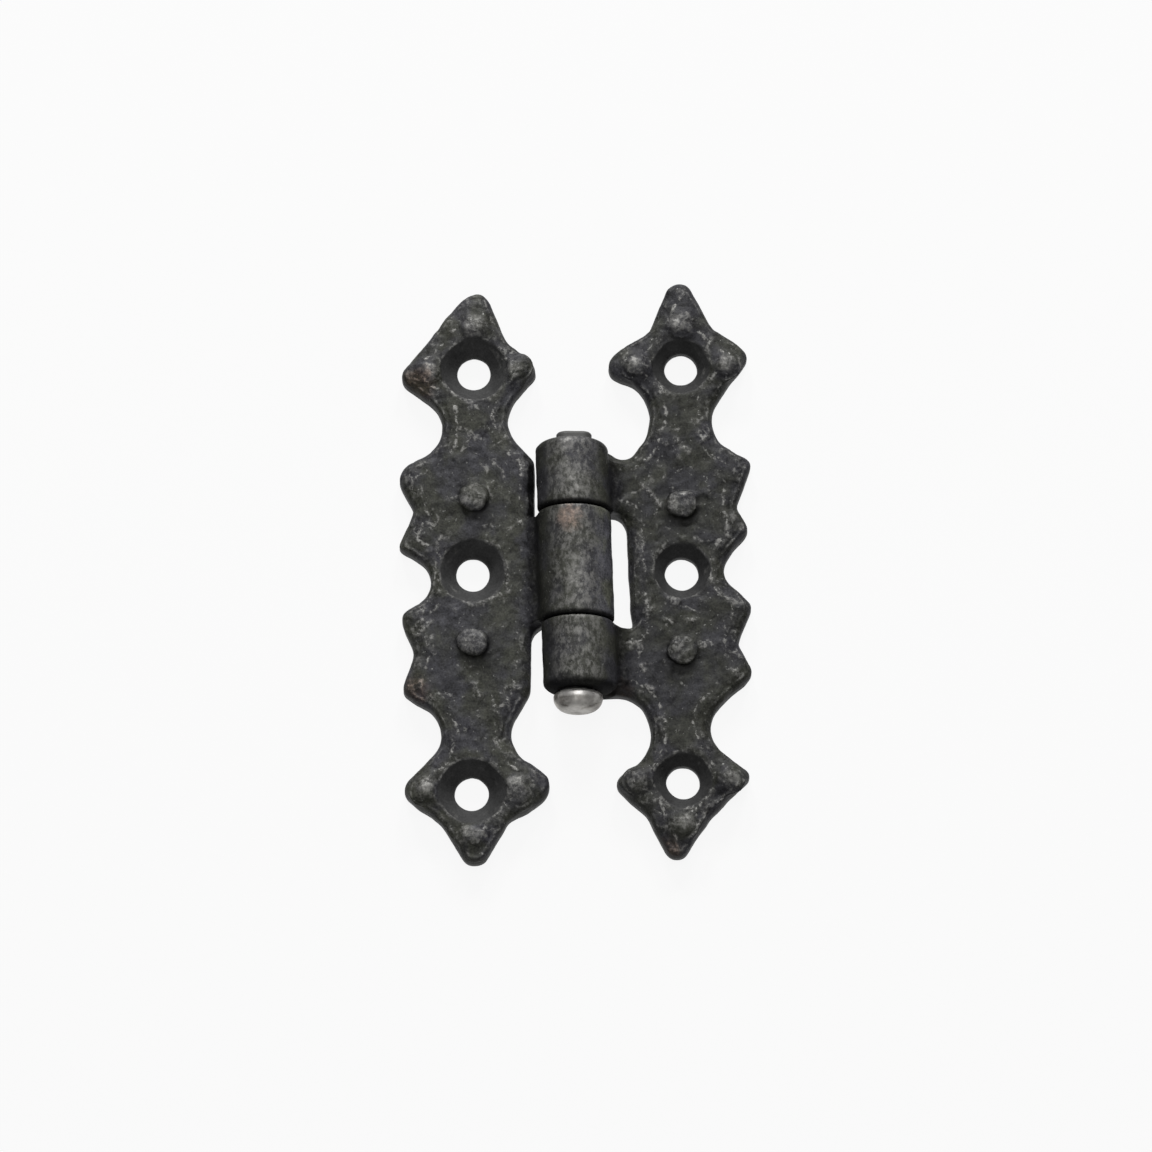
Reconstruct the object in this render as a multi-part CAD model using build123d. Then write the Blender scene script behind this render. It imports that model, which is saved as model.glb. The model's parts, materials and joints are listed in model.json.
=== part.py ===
from build123d import *
import os
from math import asin, atan2, cos, hypot, pi, radians, sin, sqrt, tan

os.makedirs("parts", exist_ok=True)

# Cast H hinge lying on its back, sizes in millimetres.
# X runs across both leaves, Y along the pin, Z out of the wall, and the pin axis stands over X = 0.

# Leaf plates
LEAF_THICKNESS = 3.2
EDGE_BEVEL = 0.9
LEFT_HOLE_OFFSET = 14.4
RIGHT_HOLE_OFFSET = 14.8
LEFT_UPPER_PITCH = 29.6
LEFT_LOWER_PITCH = 31.6
RIGHT_UPPER_PITCH = 30.1
RIGHT_LOWER_PITCH = 30.1

# Screw holes
SCREW_HOLE_DIAMETER = 4.7
LEFT_COUNTERSINK_DIAMETER = 9.2
RIGHT_COUNTERSINK_DIAMETER = 8.0
LEFT_COUNTERSINK_DEPTH = 2.2
RIGHT_COUNTERSINK_DEPTH = 1.65

# Studs and low bosses cast on the front
STUD_DIAMETER = 4.1
STUD_HEIGHT = 0.95
STUD_DRAFT = 0.35
STUD_CROWN = 0.3
STUD_ROOT = 0.3
BOSS_DIAMETER = 4.4
BOSS_HEIGHT = 0.85
BOSS_RING_RADIUS = 6.25
LEFT_STUD_UP = 10.5
LEFT_STUD_DOWN = 10.5
RIGHT_STUD_UP = 9.6
RIGHT_STUD_DOWN = 11.6

# Barrel of three knuckles, ground flush with the backs of the leaves
BARREL_RADIUS = 5.1
BARREL_FLAT_DEPTH = 0.2
BARREL_LEAN = 2.0
MIDDLE_KNUCKLE_LENGTH = 15.7
END_KNUCKLE_LENGTH = 9.75
KNUCKLE_GAP = 0.3
KNUCKLE_ROUNDING = 1.3
KNUCKLE_EASING = 0.25
WEB_FILLET = 3.0
WEB_MARGIN = 0.1
UPPER_WEB_DROP = 1.3

# Pin, riveted over at both ends and fast in the right leaf
PIN_DIAMETER = 4.4
RUNNING_CLEARANCE = 0.07
DRIVEN_CLEARANCE = 0.02
BUTTON_WIDTH = 5.0
BUTTON_DEPTH = 4.7
BUTTON_CORNER = 1.4
BUTTON_HEIGHT = 1.4
BUTTON_BEVEL = 0.3
HEAD_DIAMETER = 6.9
HEAD_LENGTH = 2.6
HEAD_ROUNDING = 2.0
HEAD_BEVEL = 0.35
NECK_LENGTH = 0.4
PEEN_DRIFT = 0.3

# Room round the knuckles
UPPER_NOTCH_ROOM = 0.7
LOWER_NOTCH_ROOM = 1.15
SLOT_WIDTH = 2.25
SLOT_CORNER = 2.1
SLOT_FLARE = 0.5
TAB_CORNER = 1.2
SLOT_LOW_CORNER = 0.6

# Waists between the finials and the body of each leaf: reach from the hole line, and rise above half way
LEFT_OUTER_UPPER_WAIST = (4.4, 0.0)
LEFT_OUTER_LOWER_WAIST = (4.25, 0.3)
LEFT_INNER_UPPER_WAIST = (4.8, -0.4)
LEFT_INNER_LOWER_WAIST = (5.4, 0.4)
RIGHT_OUTER_UPPER_WAIST = (4.3, -1.2)
RIGHT_OUTER_LOWER_WAIST = (3.85, -0.8)
WAIST_RADIUS = 4.7

# Waists that run into the webs of the right leaf, and the corner that rises to the upper knuckle
WEB_WAIST_REACH = 4.4
UPPER_WEB_WAIST_RADIUS = 6.2
LOWER_WEB_WAIST_RADIUS = 5.5
WEB_CORNER_RADIUS = 1.6
WEB_CORNER_REACH = 1.4
WEB_FOOT_INSET = 1.5

# Every outline is a belt drawn round pegs (across, along, radius).
# A positive radius is a lobe of metal and a negative one a bite out of it.
# Finials are measured from their own end hole, scallops from the middle hole.
LEFT_TOP_INNER = [(6.8, -0.3, 1.9), (5.6, 4.9, -1.2)]
LEFT_TOP_TIP = (0.2, 9.3, 2.2)
LEFT_TOP_OUTER = [(-8.2, -0.7, 2.0)]
LEFT_LOW_OUTER = [(-7.6, 0.6, 1.6), (-4.8, -5.3, -1.0)]
LEFT_LOW_TIP = (0.5, -8.2, 2.0)
LEFT_LOW_INNER = [(5.9, -4.8, -1.0), (8.7, 0.9, 1.9)]
RIGHT_TOP_INNER = [(-5.2, 6.0, -0.9), (-8.6, 0.4, 1.6)]
RIGHT_TOP_TIP = (-0.2, 10.7, 2.0)
RIGHT_TOP_OUTER = [(8.0, 1.8, 1.2), (5.7, 6.5, -1.4)]
RIGHT_LOW_INNER = [(-7.9, 0.0, 1.2), (-6.4, -5.9, -1.8)]
RIGHT_LOW_TIP = (-0.9, -9.1, 1.7)
RIGHT_LOW_OUTER = [(6.7, -7.4, -4.0), (8.1, 0.8, 1.1)]
LEFT_SCALLOPS = [(-7.5, 13.6, 2.8), (-9.95, 9.0, -1.5), (-9.15, 4.0, 1.1), (-9.3, -1.5, -3.4),
                 (-8.35, -6.6, 1.4), (-11.2, -11.8, -3.0), (-7.9, -16.4, 1.6)]
RIGHT_SCALLOPS = [(7.85, -14.0, 1.6), (9.05, -10.1, -1.2), (8.05, -5.3, 1.4), (9.25, 0.1, -3.2),
                  (8.05, 6.4, 1.2), (8.85, 9.7, -1.2), (8.3, 15.7, 1.4)]

# Shoulders of the left leaf beside the barrel: height from the middle hole, and radius
UPPER_SHOULDER = (15.8, 1.2)
LOWER_SHOULDER = (-16.6, 2.5)
UPPER_NOTCH_CORNER = 0.6
LOWER_NOTCH_CORNER = 2.8

LEFT_HOLE_LINE = -LEFT_HOLE_OFFSET
RIGHT_HOLE_LINE = RIGHT_HOLE_OFFSET
AXIS_HEIGHT = BARREL_RADIUS - BARREL_FLAT_DEPTH
LEAN = radians(BARREL_LEAN)
MIDDLE_END = MIDDLE_KNUCKLE_LENGTH / 2
END_START = MIDDLE_END + KNUCKLE_GAP
BARREL_END = END_START + END_KNUCKLE_LENGTH
LEFT_HOLES = [LEFT_UPPER_PITCH, 0, -LEFT_LOWER_PITCH]
RIGHT_HOLES = [RIGHT_UPPER_PITCH, 0, -RIGHT_LOWER_PITCH]
STANDING = (Align.CENTER, Align.CENTER, Align.MIN)
HANGING = (Align.CENTER, Align.CENTER, Align.MAX)


def moved(pegs, across, along):
    return [(x + across, y + along, r) for x, y, r in pegs]


def waist(above, below, line, place, side):
    """Bite between two lobes; place is its floor's reach from the hole line and its rise above half way."""
    reach, rise = place
    return line + side * (reach + WAIST_RADIUS), (above[1] + below[1]) / 2 + rise, -WAIST_RADIUS


def fitted(pegs):
    """The same pegs, each no fatter than the belt between it and its neighbours allows."""
    held = []
    for before, peg, after in zip(pegs[-1:] + pegs[:-1], pegs, pegs[1:] + pegs[:1]):
        x, y, r = peg
        room = min(hypot(x - ox, y - oy) / max(abs(r - other), 0.01) for ox, oy, other in (before, after))
        held.append((x, y, r * min(1, 0.98 * room)))
    return held


def belt(pegs):
    """Face inside a belt pulled tight round the pegs, taken anticlockwise."""
    pegs = fitted(pegs)
    runs = []
    for (x0, y0, r0), (x1, y1, r1) in zip(pegs, pegs[1:] + pegs[:1]):
        heading = atan2(y1 - y0, x1 - x0) - asin((r1 - r0) / hypot(x1 - x0, y1 - y0))
        left = Vector(-sin(heading), cos(heading))
        runs.append((heading, Vector(x0, y0) - left * r0, Vector(x1, y1) - left * r1))
    edges = []
    for i, (x, y, r) in enumerate(pegs):
        arriving, _, start = runs[i - 1]
        leaving, end, far = runs[i]
        half = arriving + ((leaving - arriving + pi) % (2 * pi) - pi) / 2
        crown = Vector(x, y) - Vector(-sin(half), cos(half)) * r
        edges.append(ThreePointArc(start, crown, end))
        edges.append(Line(end, far))
    return make_face(edges)


def plate(pegs):
    """Leaf plate with its back on Z = 0 and its front edge bevelled all round."""
    blank = extrude(belt(pegs), LEAF_THICKNESS)
    return chamfer(blank.faces().sort_by(Axis.Z)[-1].edges(), EDGE_BEVEL)


def knuckle(low, high, low_free=False, high_free=False):
    """One knuckle, still solid: a free end is rounded over, a joint end eased, and the back cut flush."""
    leaning = Pos(0, 0, AXIS_HEIGHT) * Rot(0, 0, BARREL_LEAN) * Rot(90, 0, 0)
    barrel = leaning * Cylinder(BARREL_RADIUS, 4 * BARREL_END)
    barrel &= Pos(0, (low + high) / 2, AXIS_HEIGHT) * Box(4 * BARREL_RADIUS, high - low, 4 * BARREL_RADIUS)
    for free, end in ((low_free, 0), (high_free, -1)):
        rim = barrel.edges().filter_by(GeomType.ELLIPSE).sort_by(Axis.Y)[end]
        barrel = fillet(rim, KNUCKLE_ROUNDING) if free else chamfer(rim, KNUCKLE_EASING)
    return split(barrel, bisect_by=Plane.XY, keep=Keep.TOP)


def web(low, high, side):
    """Cast fillet that rises from the leaf's front into the leaning barrel."""
    rise = WEB_FILLET + LEAF_THICKNESS - AXIS_HEIGHT
    reach = sqrt((BARREL_RADIUS + WEB_FILLET) ** 2 - rise ** 2)
    top = rise * BARREL_RADIUS / (BARREL_RADIUS + WEB_FILLET)
    bottom = LEAF_THICKNESS - EDGE_BEVEL - AXIS_HEIGHT
    block = Pos(side * reach / 2, (top + bottom) / 2) * Rectangle(reach, top - bottom)
    profile = block - Pos(side * reach, rise) * Circle(WEB_FILLET)
    station = Plane((-high * tan(LEAN), high, AXIS_HEIGHT), x_dir=(1, 0, 0), z_dir=(0, -1, 0))
    return extrude(station * profile, (high - low) / cos(LEAN), dir=(sin(LEAN), -cos(LEAN), 0))


def stud(x, y):
    """Blunt raised stud, rooted in the leaf."""
    blank = Cone(STUD_DIAMETER / 2, STUD_DIAMETER / 2 - STUD_DRAFT, STUD_HEIGHT + STUD_ROOT, align=STANDING)
    blank = chamfer(blank.edges().filter_by(GeomType.CIRCLE).sort_by(Axis.Z)[-1], STUD_CROWN)
    return Pos(x, y, LEAF_THICKNESS - STUD_ROOT) * blank


def boss(x, y):
    """Low round boss: the cap of a ball sunk in the leaf."""
    ball = cap_radius(BOSS_DIAMETER, BOSS_HEIGHT)
    cap = Sphere(ball) & Pos(0, 0, ball - BOSS_HEIGHT - STUD_ROOT) * Cylinder(ball, ball, align=STANDING)
    return Pos(x, y, LEAF_THICKNESS + BOSS_HEIGHT - ball) * cap


def studs(line, holes, up, down):
    """Three bosses round each end hole, and a stud on each side of the middle hole."""
    ring = BOSS_RING_RADIUS
    found = [stud(line, up), stud(line, -down)]
    for hole, outward in ((holes[0], 1), (holes[-1], -1)):
        for x, y in ((-ring, 0), (ring, 0), (0, outward * ring)):
            found.append(boss(line + x, hole + y))
    return found


def screw_holes(line, holes, countersink, depth):
    """Cutters for a leaf's countersunk screw holes, tall enough to clear the bosses."""
    radius = SCREW_HOLE_DIAMETER / 2
    tall = depth + BOSS_HEIGHT
    mouth = radius + (countersink / 2 - radius) * tall / depth
    shank = Pos(0, 0, LEAF_THICKNESS / 2) * Cylinder(radius, 2 * LEAF_THICKNESS)
    cutter = shank + Pos(0, 0, LEAF_THICKNESS + BOSS_HEIGHT) * Cone(radius, mouth, tall, align=HANGING)
    return [Pos(line, hole) * cutter for hole in holes]


def cap_radius(width, height):
    """Radius of the ball whose cap is this wide and this high."""
    return (width ** 2 / 4 + height ** 2) / (2 * height)


def pin_bore(clearance):
    """Cutter along the pin axis."""
    radius = PIN_DIAMETER / 2 + clearance
    return Pos(0, 0, AXIS_HEIGHT) * Rot(90, 0, 0) * Cylinder(radius, 4 * BARREL_END)


# Left leaf, with the middle knuckle
top = (LEFT_HOLE_LINE, LEFT_UPPER_PITCH)
low = (LEFT_HOLE_LINE, -LEFT_LOWER_PITCH)
upper_edge = -BARREL_RADIUS - UPPER_NOTCH_ROOM
lower_edge = -BARREL_RADIUS - LOWER_NOTCH_ROOM
web_end = MIDDLE_END - KNUCKLE_EASING - WEB_MARGIN
top_outer = moved(LEFT_TOP_OUTER, *top)
low_outer = moved(LEFT_LOW_OUTER, *low)
low_inner = moved(LEFT_LOW_INNER, *low)
top_inner = moved(LEFT_TOP_INNER, *top)
scallops = moved(LEFT_SCALLOPS, LEFT_HOLE_LINE, 0)
upper_shoulder = (upper_edge - UPPER_SHOULDER[1], *UPPER_SHOULDER)
lower_shoulder = (lower_edge - LOWER_SHOULDER[1], *LOWER_SHOULDER)
left_pegs = moved([LEFT_TOP_TIP], *top) + top_outer
left_pegs += [waist(top_outer[-1], scallops[0], LEFT_HOLE_LINE, LEFT_OUTER_UPPER_WAIST, -1)] + scallops
left_pegs += [waist(scallops[-1], low_outer[0], LEFT_HOLE_LINE, LEFT_OUTER_LOWER_WAIST, -1)] + low_outer
left_pegs += moved([LEFT_LOW_TIP], *low) + low_inner
left_pegs += [
    waist(low_inner[-1], lower_shoulder, LEFT_HOLE_LINE, LEFT_INNER_LOWER_WAIST, 1),
    lower_shoulder,
    (lower_edge + LOWER_NOTCH_CORNER, -web_end - LOWER_NOTCH_CORNER, -LOWER_NOTCH_CORNER),
    (-TAB_CORNER, TAB_CORNER - web_end, TAB_CORNER),
    (-TAB_CORNER, web_end - TAB_CORNER, TAB_CORNER),
    (upper_edge + UPPER_NOTCH_CORNER, web_end + UPPER_NOTCH_CORNER, -UPPER_NOTCH_CORNER),
    upper_shoulder,
    waist(upper_shoulder, top_inner[0], LEFT_HOLE_LINE, LEFT_INNER_UPPER_WAIST, 1),
]
left_pegs += top_inner
left = plate(left_pegs)
left += knuckle(-MIDDLE_END, MIDDLE_END)
left += web(-web_end, web_end, -1)
left += studs(LEFT_HOLE_LINE, LEFT_HOLES, LEFT_STUD_UP, LEFT_STUD_DOWN)
left -= screw_holes(LEFT_HOLE_LINE, LEFT_HOLES, LEFT_COUNTERSINK_DIAMETER, LEFT_COUNTERSINK_DEPTH)
left -= pin_bore(RUNNING_CLEARANCE)

# Right leaf, with the upper and lower knuckles
top = (RIGHT_HOLE_LINE, RIGHT_UPPER_PITCH)
low = (RIGHT_HOLE_LINE, -RIGHT_LOWER_PITCH)
slot_edge = BARREL_RADIUS + SLOT_WIDTH
slot_end = END_START + WEB_MARGIN
upper_web_top = BARREL_END - UPPER_WEB_DROP
top_inner = moved(RIGHT_TOP_INNER, *top)
low_inner = moved(RIGHT_LOW_INNER, *low)
low_outer = moved(RIGHT_LOW_OUTER, *low)
top_outer = moved(RIGHT_TOP_OUTER, *top)
scallops = moved(RIGHT_SCALLOPS, RIGHT_HOLE_LINE, 0)
web_waist = RIGHT_HOLE_LINE - WEB_WAIST_REACH
right_pegs = moved([RIGHT_TOP_TIP], *top) + top_inner
right_pegs += [
    (web_waist - UPPER_WEB_WAIST_RADIUS, upper_web_top + UPPER_WEB_WAIST_RADIUS, -UPPER_WEB_WAIST_RADIUS),
    (BARREL_RADIUS + WEB_CORNER_REACH, upper_web_top + WEB_CORNER_RADIUS, -WEB_CORNER_RADIUS),
    (BARREL_RADIUS - WEB_FOOT_INSET, BARREL_END - WEB_MARGIN - TAB_CORNER, TAB_CORNER),
    (TAB_CORNER, upper_web_top - TAB_CORNER, TAB_CORNER),
    (TAB_CORNER, slot_end + TAB_CORNER, TAB_CORNER),
    (slot_edge - SLOT_CORNER, slot_end - SLOT_CORNER, -SLOT_CORNER),
    (slot_edge + SLOT_FLARE - SLOT_LOW_CORNER, SLOT_LOW_CORNER - slot_end, -SLOT_LOW_CORNER),
    (TAB_CORNER, -slot_end - TAB_CORNER, TAB_CORNER),
    (TAB_CORNER, TAB_CORNER - BARREL_END, TAB_CORNER),
    (web_waist - LOWER_WEB_WAIST_RADIUS, -BARREL_END - LOWER_WEB_WAIST_RADIUS, -LOWER_WEB_WAIST_RADIUS),
]
right_pegs += low_inner + moved([RIGHT_LOW_TIP], *low) + low_outer
right_pegs += [waist(low_outer[-1], scallops[0], RIGHT_HOLE_LINE, RIGHT_OUTER_LOWER_WAIST, 1)] + scallops
right_pegs += [waist(scallops[-1], top_outer[0], RIGHT_HOLE_LINE, RIGHT_OUTER_UPPER_WAIST, 1)] + top_outer
right = plate(right_pegs)
right += knuckle(END_START, BARREL_END, high_free=True)
right += knuckle(-BARREL_END, -END_START, low_free=True)
right += web(slot_end, upper_web_top - EDGE_BEVEL, 1)
right += web(KNUCKLE_ROUNDING - BARREL_END, -slot_end, 1)
right += studs(RIGHT_HOLE_LINE, RIGHT_HOLES, RIGHT_STUD_UP, RIGHT_STUD_DOWN)
right -= screw_holes(RIGHT_HOLE_LINE, RIGHT_HOLES, RIGHT_COUNTERSINK_DIAMETER, RIGHT_COUNTERSINK_DEPTH)
right -= pin_bore(DRIVEN_CLEARANCE)

# Pin: plain shank, a short square button hammered over on top, a thick round-edged head below
shank_low = -BARREL_END - NECK_LENGTH
shank = Pos(0, (BARREL_END + shank_low) / 2, AXIS_HEIGHT) * Rot(90, 0, 0) * Cylinder(
    PIN_DIAMETER / 2, BARREL_END - shank_low)
button = extrude(RectangleRounded(BUTTON_WIDTH, BUTTON_DEPTH, BUTTON_CORNER), BUTTON_HEIGHT)
button = chamfer(button.faces().sort_by(Axis.Z)[-1].edges(), BUTTON_BEVEL)
head = Cylinder(HEAD_DIAMETER / 2, HEAD_LENGTH, align=STANDING)
head = fillet(head.edges().filter_by(GeomType.CIRCLE).sort_by(Axis.Z)[-1], HEAD_ROUNDING)
head = chamfer(head.edges().filter_by(GeomType.CIRCLE).sort_by(Axis.Z)[0], HEAD_BEVEL)
pin = shank + Pos(-PEEN_DRIFT, BARREL_END, AXIS_HEIGHT) * Rot(-90, 0, 0) * button
pin += Pos(PEEN_DRIFT, shank_low, AXIS_HEIGHT) * Rot(90, 0, 0) * head

export_step(left, "parts/left_leaf.step")
export_step(right, "parts/right_leaf.step")
export_step(pin, "parts/hinge_pin.step")
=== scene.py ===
import json
import math
from functools import reduce
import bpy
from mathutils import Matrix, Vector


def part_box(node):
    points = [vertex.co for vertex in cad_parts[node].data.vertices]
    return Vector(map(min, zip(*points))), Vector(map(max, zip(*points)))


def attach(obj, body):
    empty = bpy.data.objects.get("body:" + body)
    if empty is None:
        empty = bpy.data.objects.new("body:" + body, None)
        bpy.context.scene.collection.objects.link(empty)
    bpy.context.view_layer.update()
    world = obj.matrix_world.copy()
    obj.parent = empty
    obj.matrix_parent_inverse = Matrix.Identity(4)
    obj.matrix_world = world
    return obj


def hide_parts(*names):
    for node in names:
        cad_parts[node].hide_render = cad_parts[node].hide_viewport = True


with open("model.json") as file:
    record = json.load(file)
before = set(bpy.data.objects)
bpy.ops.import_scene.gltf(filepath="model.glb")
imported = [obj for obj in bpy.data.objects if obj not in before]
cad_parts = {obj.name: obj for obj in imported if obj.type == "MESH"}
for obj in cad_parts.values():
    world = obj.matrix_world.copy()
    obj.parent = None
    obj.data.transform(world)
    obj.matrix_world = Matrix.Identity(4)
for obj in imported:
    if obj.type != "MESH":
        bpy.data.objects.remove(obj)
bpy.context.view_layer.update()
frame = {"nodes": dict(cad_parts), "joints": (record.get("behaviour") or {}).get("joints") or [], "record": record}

from types import SimpleNamespace

import bmesh
import bpy
from mathutils import Vector

# Cast H hinge lying open on its back: both leaves get their rough cast skin and the pin its hammered ends.
# Metres throughout, in the frame's own axes: X across the leaves, Y along the pin, Z out of the wall.

MM = 0.001


def mm(*lengths):
    """Lengths written in millimetres, as metres."""
    return tuple(length * MM for length in lengths)


# What the frame fixes
BODY_OF = {node: body for body, nodes in frame["record"]["behaviour"]["bodies"].items() for node in nodes}
AXIS_HEIGHT = frame["joints"][0]["pos_m"][2]
BARREL_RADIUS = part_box("right_leaf")[1].z - AXIS_HEIGHT

# Sizes of the solids that the frame doesn't state
LEAF_THICKNESS = 3.2 * MM
STUD_HEIGHT = 0.95 * MM
LOW_STUD = Vector((14.8, -11.6, 0)) * MM
SINK_RADIUS = {"left": 4.6 * MM, "right": 4.0 * MM}
KNUCKLE_JOINT = 8.0 * MM
BARREL_END = 18.2 * MM
BARREL_LEAN = math.tan(math.radians(2.0))


def over_face(*heights):
    """Heights above the front face of the leaves, in millimetres, as Z."""
    return tuple(LEAF_THICKNESS + height for height in mm(*heights))


# Casting skin
LEAF_VOXEL = 0.22 * MM
LEAF_EASING = 3
CASTING_SIZES = {
    "Axis Height": AXIS_HEIGHT,
    "Barrel Radius": BARREL_RADIUS,
    "Warp": 0.20 * MM,
    "Warp Size": 6.0 * MM,
    "Fullness": 0.06 * MM,
    "Swell": 0.60 * MM,
    "Swell Size": 5.0 * MM,
    "Lump": 0.85 * MM,
    "Lump Size": 2.0 * MM,
    "Border": 0.24 * MM,
    "Border Width": 2.2 * MM,
    "Seam": 0.18 * MM,
    "Seam Width": 0.55 * MM,
    "Pit": 0.12 * MM,
    "Pit Size": 0.9 * MM,
    "Seed": 3.7,
}
SLUMP_PASSES = 9
STUD_HOLD = 0.5
SINK_HOLD_FADE = (0.4, 1.0)
LOW_STUD_DROP = 0.22
EDGE_SHIFT = 0.35 * MM
EDGE_SHIFT_SIZE = 2.4 * MM
BORDER_WANDER = 1.5 * MM
BORDER_WANDER_SIZE = 3 * MM
BORDER_FULL = 0.3 * MM
LOW_TIP_BORDER_LOSS = 0.8
STUD_RAISE = 0.25 * MM
STUD_WIDENING = 0.15 * MM
LOW_STUD_WIDENING = 0.15 * MM
BEVEL_FILL = 0.08 * MM
BEVEL_EXTRA_FILL = 0.18 * MM
BEVEL_FILL_SIZE = 3 * MM
RELIEF_PASSES = {"relief_fine": 4, "relief_broad": 40}

# Share of the roughness that is left on the knuckles, in the countersinks, on side walls and on the backs
KNUCKLE_CALM = 0.35
DRILLED_CALM = 0.12
WALL_CALM = 0.25
BACK_CALM = 0.12

# Fades of the casting's masks: where a mask starts and where it is full.
# First distances outside the barrel, then heights, then places, then turns of the surface (1 faces the front)
FAR = 10 * MM
PAST_BARREL_FADE = (BARREL_END, BARREL_END + 1 * MM)
KNUCKLE_FADE = mm(1.8, 0.3)
BORE_FADE = mm(-1.6, -2.4)
PLATE_FADE = mm(2.9, 3.3)
EDGE_SHIFT_ROOM = mm(2.2, 4.0)
SINK_FLOOR_FADE = mm(0.2, 0.6)
BACK_FADE = mm(0.1, 1.0)
EDGE_SHIFT_FADE = mm(1.6, 3.0)
BEVEL_FOOT_FADE = mm(2.1, 2.5)
BEVEL_TOP_FADE = over_face(0.3, 0.0)
WALL_TOP_FADE = over_face(-0.3, -0.5)
STUD_FLANK_FADE = over_face(0.05, 0.35)
STUD_FADE = over_face(0.2, 0.5)
SINK_RIM_FADE = mm(0.35, -0.1)
LOW_STUD_FADE = mm(3.6, 2.4)
STUD_ROWS_FADE = mm(20, 16)
LOW_TIP_FADE = mm(-34, -38)
WALL_TURN = (0.45, 0.4)
STUD_FLANK_TURN = (0.92, 0.6)
BEVEL_UPPER_TURN = (0.96, 0.8)
BEVEL_LOWER_TURN = (0.25, 0.5)
KNUCKLE_END_TURN = (0.5, 0.85)
FACE_TURN = (0.2, 0.9)
CREST_TURN = (0.6, 0.85)

# Where the hand-cut outline stands out from the plain one or behind it: place and push, in millimetres
TRIM_FADE = mm(4.0, 1.0)
OUTLINE_TRIMS = [
    (6.6, -32.1, -0.18, -0.25), (-4.8, -29.3, 0.15, 0.2), (-5.6, -33.6, 0.2, -0.4), (23.5, -3.9, 0.25, 0.15),
    (20.9, 34.1, 0.15, 0.3), (19.0, -35.2, 0.22, -0.22), (6.6, 32.6, -0.08, 0.26), (5.2, 28.8, 0.0, -0.43),
    (7.2, 6.0, -0.3, 0.0), (7.4, 1.0, -0.3, 0.0), (7.5, -4.0, -0.25, 0.0), (24.2, -14.9, 0.22, -0.2),
    (-7.8, 31.9, 0.1, 0.15), (-23.1, -33.0, -0.18, -0.25), (-23.4, -18.0, -0.18, -0.25),
    (-24.6, 3.5, -0.12, -0.12), (23.7, 31.1, 0.15, -0.15), (-17.2, 38.0, -0.2, 0.15),
    (-24.2, -7.4, -0.2, 0.0), (-5.7, 30.0, 0.08, 0.0), (21.7, 2.0, -0.2, 0.25), (20.9, 18.3, -0.18, -0.25),
    (8.7, 18.0, 0.15, -0.1), (8.0, -18.7, 0.22, 0.22), (-7.4, 26.6, -0.22, 0.22), (-21.8, 1.6, 0.12, 0.25),
]

# Cold shuts seen on the leaves: low ridges drawn from point to point, in millimetres
SEAM_STRAY = {"size": 1.3 * MM, "seed": 6.3, "reach": 0.9 * MM}
SEAMS = [
    (14.0, 19.3, 15.8, 17.2), (17.8, 18.9, 18.9, 20.5), (9.2, 12.6, 11.8, 9.4), (21.0, 7.7, 21.3, 5.0),
    (-23.0, -8.7, -21.3, -7.2), (-22.1, -9.3, -20.2, -7.5), (-14.4, -16.4, -13.2, -18.3),
    (-9.7, -17.0, -7.7, -16.9), (9.9, -6.6, 10.7, -5.4), (12.3, -7.3, 13.4, -7.5), (15.6, -7.1, 16.4, -7.3),
    (9.0, -13.8, 9.8, -14.8), (9.7, -16.7, 10.8, -17.4), (-19.5, 3.1, -18.9, 4.9), (-9.7, -0.9, -9.5, -3.1),
    (-19.6, 1.1, -20.0, -2.1), (-13.0, -4.4, -11.1, -3.7), (18.2, -33.9, 16.0, -38.6),
    (23.7, -30.0, 19.3, -33.4), (-10.2, -32.0, -10.6, -34.7), (-10.6, -34.7, -12.3, -36.1),
    (-18.6, 27.4, -16.7, 25.5), (-9.2, 31.0, -9.1, 27.8),
]

# Pin skin
PIN_VOXEL = 0.12 * MM
PIN_EASING = 4
PIN_SIZES = {
    "Shank Half": 17.9 * MM,
    "Peen Depth": 0.06 * MM,
    "Peen Size": 1.6 * MM,
    "Seed": 8.2,
}
PEEN_FADE = mm(0.2, 0.8)

# Clouds of the black finish, from the widest to the finest
CLOUD = {"size": 4.5 * MM, "seed": 1.3, "detail": 3.0}
CURL = {"size": 3.2 * MM, "seed": 7.7, "detail": 1.0}
BLOTCH = {"size": 2.6 * MM, "seed": 2.2, "detail": 2.0}
LINE_WANDER = {"size": 2.6 * MM, "seed": 6.1}
CURL_GAPS = {"size": 2.0 * MM, "seed": 8.3}
BROKEN = {"size": 1.6 * MM, "seed": 6.6, "detail": 2.0, "roughness": 0.6}
MOTTLE = {"size": 0.9 * MM, "seed": 2.9, "detail": 3.0, "roughness": 0.65}
STREAK = {"size": 0.7 * MM, "seed": 9.7, "detail": 4.0, "roughness": 0.7}
STREAK_STRETCH = (1, 0.6, 1)
DUST = {"size": 0.5 * MM, "seed": 5.4, "detail": 2.0, "roughness": 0.6}
GRAIN = {"size": 0.28 * MM, "seed": 4.1, "detail": 1.0, "roughness": 0.7}

# Colours of the black finish
OLIVE_BLACK = (0.0325, 0.0333, 0.0262, 1)
SLATE_BLACK = (0.0302, 0.0300, 0.0345, 1)
DRILLED_BLACK = (0.034, 0.034, 0.034, 1)
# Rubbed iron; along the knuckle crowns it also serves as a painted sheen
RUBBED_IRON_AND_SHEEN = (0.23, 0.226, 0.215, 1)
BARE_SPECK = (0.2, 0.2, 0.19, 1)
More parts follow.
